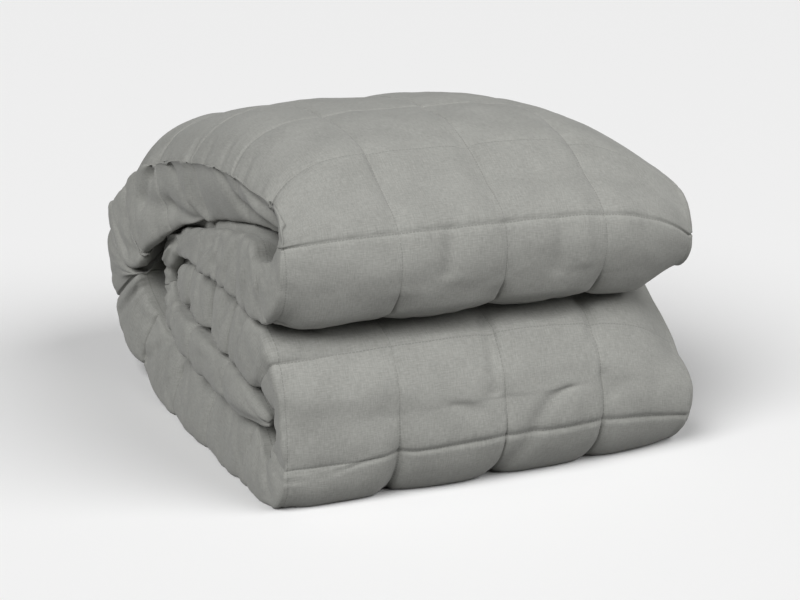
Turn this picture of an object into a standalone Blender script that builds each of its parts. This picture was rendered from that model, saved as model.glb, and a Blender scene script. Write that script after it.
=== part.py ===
"""Weighted blanket, folded lengthwise to a strip of four squares and then rolled up in layers.

One closed body.  The strip is swept along its own path: from its free end under the upper
roll it runs forward as the top of the lower roll, turns down the lower front, runs back along
the ground, wraps up around the back, comes forward over the top, turns down the upper front,
runs back underneath, turns down around its own free end and runs forward as an inner tongue.
The two faces of the strip are quilted in squares, the left side is a fold and the right side
shows two hems above a fold.

Tables are in millimetres, the mesh is in metres.  +Y is the back and +Z is up.
"""
import bpy
import math
import numpy as np

MM = 0.001
SQUARE = 100.0                 # side of one quilted square
SQUARES_ACROSS = 4             # squares across the folded strip
HALF_WIDTH = 0.5 * SQUARE * SQUARES_ACROSS
LAYER_GAP = 3.0                # air between two layers that lie on each other
PUFF_UP = 6.0                  # rise of a filled square over its seams where it faces up
PUFF_DOWN = 13.0               # the same where it faces down and the filling settles
PUFF_IN = 3.0                  # the same on the inner face
EDGE_FULLNESS = 0.55           # how full a square stays at the two sides of the strip
SIDE_BULGE = 19.0              # how far the folded left side stands out from its last seam
SIDE_TUCK = 10.0               # how far a seam draws that side in
DROP_HEIGHTS = (60.0, 220.0)   # the shape of a side takes over later across the width with height
LEFT_DROP_POWER = (1.6, 6.0)   # its powers at those heights on the left
RIGHT_DROP_POWER = (3.1, 3.3)  # and on the right
CUSHION_FLATNESS = 2.6         # how level a filled square is over its middle
CUSHION_FULLNESS = 0.6         # how steeply it rises from its seams
PATH_STEPS = 18                # fine steps between two rows of the path
PATH_ROUNDS = 5                # rounds of evening out along the whole path
SHARE_LIMIT = 0.92             # most of the room that a tight fold may fill
SETTLE_STEPS = 7               # fine steps over which a thickness evens out
FREE_ROOM = 1000.0             # room where no other part of the strip is near
LEAST_AHEAD = 1e-6             # places no further ahead than this don't limit the room

# The path of the strip.  seam: squares counted from the free end.  y, z and half: centre and
# half thickness in the middle of the width.  side_y, side_z and side_half: the same at the
# sides.  side_in: how far the left side is drawn in there.
PATH_COLUMNS = ("place", "seam", "y", "z", "half", "side_y", "side_z", "side_half", "side_in")
PATH = (
    ("free end under the upper roll", 0.00, 428, 140, 8, 372, 114, 5, 28),
    ("lower roll, top back", 0.45, 390, 140, 26, 328, 127, 14, 24),
    ("lower roll, top", 1.00, 335, 140, 31, 275, 133, 21, 14),
    ("lower roll, top", 2.00, 235, 139, 31, 190, 139, 29, 4),
    ("lower roll, top front", 3.00, 137, 138, 31, 127, 137, 30, 0),
    ("lower roll, brow", 3.50, 87, 131, 31, 88, 131, 31, 0),
    ("lower roll, shoulder", 3.85, 53, 117, 31, 52, 121, 26, 0),
    ("lower roll, front top", 4.20, 34, 97, 30, 34, 102, 16, 0),
    ("lower roll, front", 4.60, 29, 76, 30, 30, 80, 12, 0),
    ("lower roll, toe seam", 5.00, 26, 57, 31, 33, 46, 23, 0),
    ("lower roll, toe", 5.45, 42, 37, 33, 30, 28, 30, 0),
    ("ground, front", 6.00, 84, 33, 32, 82, 31, 31, 0),
    ("ground, middle", 7.00, 176, 33, 32, 190, 34, 32, 0),
    ("ground, back", 8.00, 272, 34, 33, 285, 37, 34, 0),
    ("wrap, foot", 9.00, 366, 42, 36, 385, 58, 36, 0),
    ("wrap, low", 9.50, 418, 57, 38, 425, 78, 45, 0),
    ("wrap, low", 10.00, 458, 83, 40, 442, 97, 53, 0),
    ("wrap, back", 10.50, 482, 116, 41, 447, 113, 55, 0),
    ("wrap, back", 11.00, 486, 150, 42, 445, 131, 56, 0),
    ("wrap, high", 11.50, 475, 185, 42, 433, 148, 51, 0),
    ("wrap, high", 12.00, 446, 210, 41, 420, 167, 43, 0),
    ("wrap, shoulder", 12.50, 408, 232, 39, 386, 187, 39, 0),
    ("top, back seam", 13.00, 362, 245, 36, 352, 201, 36, 0),
    ("top, back third", 14.00, 266, 270, 33, 240, 231, 28, 0),
    ("top, front third", 15.00, 169, 275, 33, 131, 246, 22, 0),
    ("top, front", 15.50, 122, 271, 32, 82, 248, 16, 0),
    ("upper roll, brow seam", 16.00, 84, 260, 32, 42, 249, 13.5, 0),
    ("upper roll, slope", 16.50, 48, 243, 24, 28, 243, 11, 0),
    ("upper roll, nose seam", 17.00, 28, 227, 25, 23, 232, 9, 0),
    ("upper roll, nose", 17.50, 30, 204, 26, 25, 212, 13, 0),
    ("upper roll, lip seam", 18.00, 43, 182, 25, 40, 198, 27, 0),
    ("upper roll, lip", 18.40, 70, 182, 27, 64, 197, 30, 0),
    ("upper roll, under", 19.00, 120, 195, 30, 100, 197, 31, 0),
    ("upper roll, under", 20.00, 215, 206, 31, 160, 193, 26, 0),
    ("upper roll, under", 21.00, 310, 205, 31, 230, 184, 20, 6),
    ("inner turn, start", 21.70, 382, 196, 27, 310, 171, 14, 21),
    ("inner turn, top", 22.15, 425, 180, 19, 365, 158, 12, 26),
    ("inner turn, back", 22.60, 447, 145, 12, 390, 134, 11, 28),
    ("inner turn, foot", 23.05, 432, 104, 16, 392, 104, 12, 28),
    ("tongue, back", 23.60, 380, 88, 19, 350, 82, 17, 20),
    ("tongue, middle", 24.60, 285, 86, 19, 270, 89, 20, 2),
    ("tongue, front", 26.00, 150, 83, 16, 130, 86, 19, 0),
    ("tongue, front", 26.50, 118, 77, 11, 76, 80, 17, 0),
    ("free end in the lower roll", 26.80, 96, 74, 5, 46, 72, 7, 2),
)

# Where the right side differs from the left one: both rolls are lower at their front corner.
RIGHT_COLUMNS = ("seam", "side_y", "side_z", "side_half")
RIGHT_FRONT = (
    (3.00, 128, 118, 28),
    (3.50, 94, 98, 26),
    (3.85, 70, 80, 24),
    (4.20, 51, 64, 22),
    (4.60, 37, 54, 22),
    (5.00, 36, 45, 24),
    (5.45, 52, 33, 29),
    (12.50, 380, 175, 37),
    (13.00, 346, 179, 34),
    (14.00, 240, 210, 27),
    (15.00, 131, 230, 22),
    (15.50, 86, 232, 18),
    (16.00, 56, 225, 17),
    (16.50, 42, 213, 15),
    (17.00, 38, 203, 13),
    (17.50, 42, 194, 14),
    (18.00, 58, 194, 18),
    (18.40, 80, 198, 23),
    (19.00, 112, 201, 27),
    (24.60, 270, 86, 18),
    (26.00, 160, 79, 14),
    (26.50, 128, 72, 12),
    (26.80, 102, 68, 6),
)

# The open side at the right: share of the thickness from the outer to the inner face, reach
# beyond the last seam, and depth of a groove cut back into it.
# Columns: place, share, reach, cut.
RIGHT_EDGE = (
    ("first hem", 0.05, 6.0, 0.0),
    ("first hem", 0.20, 9.0, 0.0),
    ("groove", 0.255, 10.0, 15.0),
    ("second hem", 0.31, 10.5, 0.0),
    ("second hem", 0.45, 11.5, 1.0),
    ("groove", 0.50, 12.0, 17.0),
    ("folded edge", 0.58, 13.0, 3.0),
    ("folded edge", 0.75, 13.0, 0.0),
    ("folded edge", 0.92, 8.0, 0.0),
)
LEFT_EDGE_POINTS = 6           # points on the folded left side
LEFT_EDGE_SQUARENESS = 0.5     # 1 for a half round side, less for a fuller one
LEFT_INSET_POWER = 4           # how much of the inset stays at the very side
SIDE_REACH_LIMIT = 0.5         # most that a side stands out, as a share of the thickness
GROOVE_THICKNESS = (14.0, 50.0)   # strips between these get the grooves by degrees

SHOWN_STEPS = (0.0, 0.1, 0.32, 0.68, 0.9)   # places within a square where points lie
HIDDEN_STEPS = (0.0, 0.33, 0.67)
SHOWN_SEAMS = (3.0, 19.0)      # the seams between which the strip shows
FIRST_SEAM = PATH[0][1]
LAST_SEAM = PATH[-1][1]
TIP_ROUNDING = ((0.0, 0.35), (0.05, 0.8), (0.33, 1.0))   # squares from a free end, thickness kept


def path_table(side):
    """The path's columns by name, for the left (-1) or the right (+1) of the blanket."""
    table = {name: np.array([row[k] for row in PATH], float)
             for k, name in enumerate(PATH_COLUMNS) if name != "place"}
    if side > 0:
        table["side_in"][:] = 0.0
        for row in RIGHT_FRONT:
            here = np.argmin(abs(table["seam"] - row[0]))
            for name, value in zip(RIGHT_COLUMNS[1:], row[1:]):
                table[name][here] = value
    return table


def through_rows(rows):
    """A smooth curve through the rows.  The first two columns set the pace of the curve."""
    ends = [2.0 * rows[0] - rows[1], 2.0 * rows[-1] - rows[-2]]
    knots = np.vstack([ends[0], rows, ends[1]])
    pieces = []
    for p0, p1, p2, p3 in zip(knots, knots[1:], knots[2:], knots[3:]):
        t0 = 0.0
        t1 = t0 + math.sqrt(math.dist(p0[:2], p1[:2]))
        t2 = t1 + math.sqrt(math.dist(p1[:2], p2[:2]))
        t3 = t2 + math.sqrt(math.dist(p2[:2], p3[:2]))
        t = np.linspace(t1, t2, PATH_STEPS, endpoint=False)[:, None]
        a1 = (t1 - t) / (t1 - t0) * p0 + (t - t0) / (t1 - t0) * p1
        a2 = (t2 - t) / (t2 - t1) * p1 + (t - t1) / (t2 - t1) * p2
        a3 = (t3 - t) / (t3 - t2) * p2 + (t - t2) / (t3 - t2) * p3
        b1 = (t2 - t) / (t2 - t0) * a1 + (t - t0) / (t2 - t0) * a2
        b2 = (t3 - t) / (t3 - t1) * a2 + (t - t1) / (t3 - t1) * a3
        pieces.append((t2 - t) / (t2 - t1) * b1 + (t - t1) / (t2 - t1) * b2)
    pieces.append(rows[-1:])
    return np.vstack(pieces)


def even_out(values, steps):
    """Running mean along the path with the ends held."""
    values = values.copy()
    for _ in range(steps):
        values[1:-1] = 0.5 * values[1:-1] + 0.25 * (values[:-2] + values[2:])
    return values


def lowest_near(values, reach):
    """The lowest value within a few steps on both sides."""
    padded = np.pad(values, reach, mode="edge")
    return np.min([padded[k:k + len(values)] for k in range(2 * reach + 1)], axis=0)


def slice_path(x):
    """The strip's path where it crosses one position of the width."""
    table = path_table(1.0 if x > 0 else -1.0)
    power = np.interp(table["z"], DROP_HEIGHTS, RIGHT_DROP_POWER if x > 0 else LEFT_DROP_POWER)
    weight = abs(x / HALF_WIDTH) ** power
    columns = [(1.0 - weight) * table[name] + weight * table["side_" + name] for name in ("y", "z", "half")]
    rows = np.column_stack(columns + [weight * table["side_in"], table["seam"]])
    curve = even_out(through_rows(rows), PATH_ROUNDS)
    centre = curve[:, :2]
    along = np.gradient(centre, axis=0)
    along /= np.linalg.norm(along, axis=1)[:, None]
    outward = np.column_stack([along[:, 1], -along[:, 0]])
    return centre, outward, curve[:, 2], curve[:, 3], curve[:, 4]


def room_for(centre, direction, half):
    """Half thickness that fits between each place of the path and every other one.

    It is the radius of the ball that touches the path at one place and another, shared out
    by the two thicknesses.
    """
    apart = centre[None, :, :] - centre[:, None, :]
    ahead = (apart * direction[:, None, :]).sum(2)
    distance2 = (apart ** 2).sum(2)
    share = half[:, None] / (half[:, None] + half[None, :])
    radius = distance2 / np.maximum(ahead, LEAST_AHEAD) * share
    radius = np.where(ahead > LEAST_AHEAD, radius, FREE_ROOM).min(1)
    radius = np.minimum(radius - 0.5 * LAYER_GAP, SHARE_LIMIT * radius)
    return np.minimum(radius, even_out(lowest_near(radius, SETTLE_STEPS), SETTLE_STEPS))


def cushion(position):
    """0 on a seam and 1 in the middle of a square."""
    offset = abs(2.0 * (position - np.floor(position)) - 1.0)
    return (1.0 - offset ** CUSHION_FLATNESS) ** CUSHION_FULLNESS


def cushion_across(x):
    """The same across the width.  The squares stay fuller at the two sides of the strip."""
    value = float(cushion(np.array(x / SQUARE)))
    outermost = abs(x) > HALF_WIDTH - 0.5 * SQUARE
    return max(value, EDGE_FULLNESS) if outermost else value


def stations():
    """Seam numbers at which the strip is cut into rings of points."""
    places = []
    for square in range(int(FIRST_SEAM), int(LAST_SEAM) + 1):
        shown = SHOWN_SEAMS[0] <= square < SHOWN_SEAMS[1]
        for step in SHOWN_STEPS if shown else HIDDEN_STEPS:
            if FIRST_SEAM < square + step < LAST_SEAM:
                places.append(square + step)
    for offset, _ in TIP_ROUNDING:
        places.append(FIRST_SEAM + offset)
        places.append(LAST_SEAM - offset)
    return np.array(sorted(set(round(place, 4) for place in places)))


def tip_share(seams):
    """How much of its thickness the strip keeps towards its two free ends."""
    from_end = np.minimum(seams - FIRST_SEAM, LAST_SEAM - seams)
    offsets = [offset for offset, _ in TIP_ROUNDING]
    shares = [share for _, share in TIP_ROUNDING]
    return np.interp(from_end, offsets, shares)


def face_lines(x, seams):
    """Outer and inner face of the strip at one position of the width, one row a station."""
    centre, outward, half, inset, seam = slice_path(x)
    rise = cushion(seam) * cushion_across(x)
    puff_out = PUFF_UP + (PUFF_DOWN - PUFF_UP) * 0.5 * (1.0 - outward[:, 1])
    outer = np.minimum(half + puff_out * rise, room_for(centre, outward, half))
    inner = np.minimum(half + PUFF_IN * rise, room_for(centre, -outward, half))
    share = tip_share(seam)
    outer_line = centre + outward * (outer * share)[:, None]
    inner_line = centre - outward * (inner * share)[:, None]
    outer_line[:, 1] = np.maximum(outer_line[:, 1], 0.0)
    columns = np.column_stack([outer_line, inner_line, inset])
    return np.column_stack([np.interp(seams, seam, column) for column in columns.T])


def side_x(x, inset):
    """Position across the width with the left side drawn in."""
    return x + inset * max(0.0, -x / HALF_WIDTH) ** LEFT_INSET_POWER


def left_edge(start, end, x_seam, seams):
    """Rounded folded side between the last seams of the two faces."""
    thickness = np.linalg.norm(end - start, axis=1)
    reach = SIDE_BULGE - SIDE_TUCK * (1.0 - cushion(seams))
    reach = np.minimum(reach, SIDE_REACH_LIMIT * thickness)
    rings = []
    for k in range(1, LEFT_EDGE_POINTS + 1):
        turn = math.pi * k / (LEFT_EDGE_POINTS + 1)
        point = start + (end - start) * 0.5 * (1.0 - math.cos(turn))
        rings.append(np.column_stack([x_seam - reach * math.sin(turn) ** LEFT_EDGE_SQUARENESS, point]))
    return rings


def right_edge(start, end, x_seam):
    """Open side with two hems above a folded edge, from the inner face to the outer one."""
    thickness = np.linalg.norm(end - start, axis=1)
    full = np.minimum(1.0, thickness / GROOVE_THICKNESS[1])
    grooved = np.interp(thickness, GROOVE_THICKNESS, (0.0, 1.0))
    rings = []
    for _, share, reach, cut in reversed(RIGHT_EDGE):
        point = end + (start - end) * share
        rings.append(np.column_stack([x_seam + reach * full - cut * grooved, point]))
    return rings


def lines_across(steps):
    """Positions across the width at which a face has a line of points."""
    squares = range(SQUARES_ACROSS)
    return [SQUARE * (square + step) - HALF_WIDTH for square in squares for step in steps] + [HALF_WIDTH]


def strip_rings():
    """All points, ordered by station and then around the strip."""
    seams = stations()
    outer_x = lines_across(SHOWN_STEPS)
    inner_x = lines_across(HIDDEN_STEPS)
    lines = {x: face_lines(x, seams) for x in sorted(set(outer_x + inner_x))}
    rings = []
    for x in reversed(outer_x):
        line = lines[x]
        rings.append(np.column_stack([side_x(x, line[:, 4]), line[:, 0:2]]))
    first = lines[-HALF_WIDTH]
    rings += left_edge(first[:, 0:2], first[:, 2:4], side_x(-HALF_WIDTH, first[:, 4]), seams)
    for x in inner_x:
        line = lines[x]
        rings.append(np.column_stack([side_x(x, line[:, 4]), line[:, 2:4]]))
    last = lines[HALF_WIDTH]
    rings += right_edge(last[:, 2:4], last[:, 0:2], np.full(len(seams), HALF_WIDTH))
    return np.stack(rings, axis=1)


def end_faces():
    """Triangles that close a ring: across between its two faces, and over its two sides."""
    outer_x = lines_across(SHOWN_STEPS)
    inner_x = lines_across(HIDDEN_STEPS)
    last_outer = len(outer_x) - 1
    first_inner = len(outer_x) + LEFT_EDGE_POINTS
    last_inner = first_inner + len(inner_x) - 1
    around = last_inner + 1 + len(RIGHT_EDGE)
    faces = [(last_outer, k, k + 1) for k in range(last_outer + 1, first_inner)]
    faces += [(0, k, (k + 1) % around) for k in range(last_inner, around - 1)]
    i, j = 0, 0
    while i < len(outer_x) - 1 or j < len(inner_x) - 1:
        outer, inner = last_outer - i, first_inner + j
        if j == len(inner_x) - 1 or (i < len(outer_x) - 1 and outer_x[i + 1] <= inner_x[j + 1]):
            faces.append((outer, inner, outer - 1))
            i += 1
        else:
            faces.append((outer, inner, inner + 1))
            j += 1
    return faces


def rest_on_origin(points):
    """Move the points so that the bottom centre of their bounds is the origin."""
    low = points.reshape(-1, 3).min(0)
    high = points.reshape(-1, 3).max(0)
    return points - np.array([0.5 * (low[0] + high[0]), 0.5 * (low[1] + high[1]), low[2]])


def strip_mesh(name):
    """Skin the rings with triangles and close the two free ends."""
    points = rest_on_origin(strip_rings())
    count, around = points.shape[:2]
    faces = []
    for i in range(count - 1):
        for j in range(around):
            k = (j + 1) % around
            a, b = i * around + j, i * around + k
            c, d = a + around, b + around
            faces.append((a, b, d))
            faces.append((a, d, c))
    last_ring = (count - 1) * around
    for a, b, c in end_faces():
        faces.append((a, c, b))
        faces.append((last_ring + a, last_ring + b, last_ring + c))
    mesh = bpy.data.meshes.new(name)
    mesh.from_pydata((points.reshape(-1, 3) * MM).tolist(), [], faces)
    mesh.update()
    return mesh


def cloth_material():
    """Plain warm grey woven cloth."""
    material = bpy.data.materials.new("grey_cloth")
    material.use_nodes = True
    shader = material.node_tree.nodes["Principled BSDF"]
    shader.inputs["Base Color"].default_value = (0.33, 0.33, 0.315, 1.0)
    shader.inputs["Roughness"].default_value = 0.92
    return material


def build():
    """Make the blanket in a collection named for it."""
    for old in list(bpy.data.objects):
        bpy.data.objects.remove(old, do_unlink=True)
    collection = bpy.data.collections.new("blanket")
    bpy.context.scene.collection.children.link(collection)
    mesh = strip_mesh("blanket")
    mesh.materials.append(cloth_material())
    mesh.shade_smooth()
    blanket = bpy.data.objects.new("blanket", mesh)
    collection.objects.link(blanket)


build()
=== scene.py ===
"""Looks of the weighted blanket, folded to a strip of four squares and rolled up in layers.

The cloth is one surface of two parameters: seams along the strip's path, and millimetres around
the strip, from its right side over the outer face, the folded left side and the inner face back
to the hems.  Tables are in millimetres, as in the part's source, and the meshes are in metres.
"""
import math

import bpy
import numpy as np
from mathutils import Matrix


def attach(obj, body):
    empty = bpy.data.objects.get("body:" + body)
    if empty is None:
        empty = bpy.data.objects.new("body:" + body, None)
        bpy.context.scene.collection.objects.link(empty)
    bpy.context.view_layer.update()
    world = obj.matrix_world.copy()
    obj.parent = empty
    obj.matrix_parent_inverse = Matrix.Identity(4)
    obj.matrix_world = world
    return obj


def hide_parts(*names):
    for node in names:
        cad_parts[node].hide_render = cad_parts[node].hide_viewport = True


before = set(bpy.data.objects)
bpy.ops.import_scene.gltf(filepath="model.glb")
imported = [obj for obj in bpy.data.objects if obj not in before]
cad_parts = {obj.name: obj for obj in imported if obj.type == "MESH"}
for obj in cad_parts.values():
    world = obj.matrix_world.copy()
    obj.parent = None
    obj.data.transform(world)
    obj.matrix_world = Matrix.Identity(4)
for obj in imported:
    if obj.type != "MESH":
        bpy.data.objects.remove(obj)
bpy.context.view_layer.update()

MM = 0.001
SQUARE = 100.0                 # side of a quilted square
SQUARES_ACROSS = 4
HALF_WIDTH = 0.5 * SQUARE * SQUARES_ACROSS
FROM_TABLE = np.array([2.96, -262.40, 0.0])    # the tables' origin in the part's frame

# Rise of a square in its middle: where the cloth faces up, where it faces down, and inside.
PUFF_UP = 6.0
PUFF_DOWN = 13.0
PUFF_IN = 3.0
CUSHION_FLATNESS = 2.6
CUSHION_FULLNESS = 0.6
EDGE_FULLNESS = 0.55           # least share of the rise at the two sides of the strip
LEFT_ZONE_START = 105.0        # from here to the left the quilting goes over to that of the edge
LEFT_ZONE_WIDTH = 70.0
FILL_START = 150.0             # from here to the left the inner face swells by its fill
FILL_WIDTH = 50.0

# The path, and the room that its layers leave each other.
DROP_HEIGHTS = (60.0, 220.0)   # the sides leave the middle's path by a power of the width, which
LEFT_DROP_POWER = (1.6, 6.0)   # goes over from the first to the second between these heights
RIGHT_DROP_POWER = (3.1, 3.3)
LEFT_INSET_POWER = 4
PATH_STEPS = 18                # points of the curve from one row to the next
PATH_ROUNDS = 5                # rounds of its smoothing
LAYER_GAP = 1.0
SHARE_LIMIT = 0.94             # largest share of the room that a layer takes up
SETTLE_STEPS = 7
FREE_ROOM = 1000.0
LEAST_AHEAD = 1e-6
WALL_ROOM = 12.0               # room for folds on the two sides of the strip
OVER_ROOM = 1.0                # by which a fold may pass the room
END_MARGIN = 0.004             # no ring of points is closer to an end, in squares

PATH_COLUMNS = ("seam", "y", "z", "half", "side_y", "side_z", "side_half", "side_in")
PATH = (
    (0.00, 428, 140, 8, 372, 114, 5, 28),
    (0.45, 390, 140, 26, 328, 127, 14, 24),
    (1.00, 335, 140, 31, 275, 133, 21, 14),
    (2.00, 235, 139, 31, 190, 139, 29, 4),
    (3.00, 137, 138, 31, 127, 137, 30, 0),
    (3.50, 87, 131, 31, 88, 131, 31, 0),
    (3.85, 53, 117, 31, 52, 121, 26, 0),
    (4.20, 34, 97, 30, 34, 102, 16, 0),
    (4.60, 29, 76, 30, 30, 80, 12, 0),
    (5.00, 26, 57, 31, 33, 46, 19, 0),
    (5.45, 42, 37, 33, 41, 30, 26, 0),
    (6.00, 84, 33, 32, 82, 31, 31, 0),
    (7.00, 176, 33, 32, 190, 34, 32, 0),
    (8.00, 272, 34, 33, 285, 37, 34, 0),
    (9.00, 366, 42, 36, 385, 58, 36, 0),
    (9.50, 418, 57, 38, 425, 78, 45, 0),
    (10.00, 458, 83, 40, 442, 97, 53, 0),
    (10.50, 482, 116, 41, 447, 113, 55, 0),
    (11.00, 486, 150, 42, 445, 131, 56, 0),
    (11.50, 475, 185, 42, 433, 148, 51, 0),
    (12.00, 446, 210, 41, 420, 167, 43, 0),
    (12.50, 408, 232, 39, 386, 187, 39, 0),
    (13.00, 362, 245, 36, 352, 201, 36, 0),
    (14.00, 266, 270, 33, 240, 231, 28, 0),
    (15.00, 169, 275, 33, 131, 246, 22, 0),
    (15.50, 122, 271, 32, 82, 248, 16, 0),
    (16.00, 84, 260, 32, 42, 249, 13.5, 0),
    (16.50, 48, 243, 24, 28, 243, 11, 0),
    (17.00, 28, 227, 25, 23, 232, 9, 0),
    (17.50, 30, 204, 26, 25, 212, 13, 0),
    (18.00, 43, 182, 25, 40, 198, 27, 0),
    (18.40, 70, 182, 27, 64, 197, 30, 0),
    (19.00, 120, 195, 30, 100, 197, 31, 0),
    (20.00, 215, 206, 31, 160, 193, 26, 0),
    (21.00, 310, 205, 31, 230, 184, 20, 6),
    (21.70, 382, 196, 27, 310, 171, 14, 21),
    (22.15, 425, 180, 19, 365, 158, 12, 26),
    (22.60, 447, 145, 12, 390, 134, 11, 28),
    (23.05, 432, 104, 16, 392, 104, 12, 28),
    (23.60, 380, 88, 19, 350, 82, 17, 20),
    (24.60, 285, 86, 19, 270, 89, 20, 2),
    (26.00, 150, 83, 16, 130, 86, 19, 0),
    (26.50, 118, 77, 11, 76, 80, 17, 0),
    (26.80, 96, 74, 5, 46, 72, 7, 2),
)
RIGHT_COLUMNS = ("seam", "side_y", "side_z", "side_half")
RIGHT_FRONT = (
    (3.00, 128, 118, 28),
    (3.50, 94, 98, 26),
    (3.85, 70, 80, 24),
    (4.20, 51, 64, 22),
    (4.60, 37, 54, 22),
    (5.00, 36, 45, 24),
    (5.45, 52, 33, 29),
    (12.50, 380, 175, 37),
    (13.00, 346, 179, 34),
    (14.00, 240, 210, 27),
    (15.00, 131, 230, 22),
    (15.50, 86, 232, 18),
    (16.00, 56, 225, 17),
    (16.50, 42, 213, 15),
    (17.00, 38, 203, 13),
    (17.50, 42, 194, 14),
    (18.00, 58, 194, 18),
    (18.40, 80, 198, 23),
    (19.00, 112, 201, 27),
    (24.60, 270, 86, 18),
    (26.00, 160, 79, 14),
    (26.50, 128, 72, 12),
    (26.80, 102, 68, 6),
)
FIRST_SEAM = PATH[0][0]
LAST_SEAM = PATH[-1][0]
TIP_ROUNDING = ((0.0, 0.35), (0.05, 0.8), (0.33, 1.0))
SHOWN_SEAMS = (3, 19)

# How deep the quilting shows, as shares of the solid's: across the strip at its left and over
# the rest of its width, and lengthwise.  line: depth of the stitched groove.
QUILT_COLUMNS = ("seam", "left", "middle", "lengthwise", "line")
QUILTING = (
    (0, 0.60, 0.60, 0.60, 1.0),
    (2, 0.60, 0.50, 0.60, 1.0),
    (3, 0.55, 0.20, 0.30, 0.6),
    (4, 0.55, 0.04, 0.20, 0.1),
    (5, 0.34, 0.28, 0.46, 1.2),
    (6, 0.90, 0.80, 1.00, 1.5),
    (11, 0.90, 0.80, 1.00, 1.5),
    (12, 0.70, 0.70, 0.80, 1.2),
    (13, 0.55, 0.50, 0.60, 1.0),
    (14, 0.45, 0.40, 0.50, 0.9),
    (15, 0.50, 0.30, 0.42, 0.6),
    (16, 0.60, 0.12, 0.36, 0.3),
    (17, 0.26, 0.18, 0.12, 1.2),
    (17.6, 0.26, 0.18, 0.20, 1.2),
    (18, 0.40, 0.20, 0.90, 1.2),
    (19, 0.80, 0.80, 0.80, 1.0),
    (27, 0.80, 0.80, 0.80, 1.0),
)

# The folded left side.  reach: how far it stands out; tuck: how far a seam draws it in; lean: 0
# for an even side, 1 for a sharp edge on the outer face with the fullness towards the inner one,
# below 0 for the other way round; hollow: depth of the hollow right under the outer edge;
# undercut: how far the inner face's edge is drawn in, or the outer one's where negative; fill:
# how far the inner face swells at this side.
WALL_COLUMNS = ("seam", "reach", "tuck", "lean", "hollow", "undercut", "fill")
WALL = (
    (0.0, 15, 6, 0.0, 0, 0, 0),
    (1.0, 16, 7, 0.0, 0, -8, 0),
    (3.0, 16, 6, 0.0, 0, -12, 0),
    (4.0, 13, 4, 0.3, 0, 4, 0),
    (4.5, 10, 3, 0.5, 0, 14, 0),
    (5.0, 11, 3, 0.6, 1, 8, 0),
    (5.6, 14, 4, 0.2, 0, 6, 0),
    (6.5, 16, 5, -0.3, 0, 9, 0),
    (9.0, 17, 6, -0.3, 0, 9, 0),
    (10.0, 17, 6, 0.0, 0, 0, 5),
    (11.3, 17, 5, 0.0, 0, 0, 5),
    (12.0, 14, 4, 0.2, 1, 0, 9),
    (12.6, 11, 4, 0.5, 3, 6, 8),
    (13.2, 9, 3, 0.5, 4, 18, 0),
    (16.4, 8, 3, 0.5, 4, 24, 0),
    (17.2, 11, 3, 0.5, 1, 10, 0),
    (18.0, 14, 4, 0.0, 0, 0, 0),
    (19.0, 16, 7, 0.0, 0, 8, 0),
    (20.5, 16, 8, 0.0, 0, 14, 0),
    (21.5, 15, 7, 0.0, 0, 10, 0),
    (22.5, 13, 6, 0.0, 0, 0, 4),
    (24.0, 15, 7, 0.0, 0, -4, 0),
    (26.0, 17, 5, 0.0, 0, 0, 0),
    (26.8, 17, 5, 0.0, 0, 0, 0),
)

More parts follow.
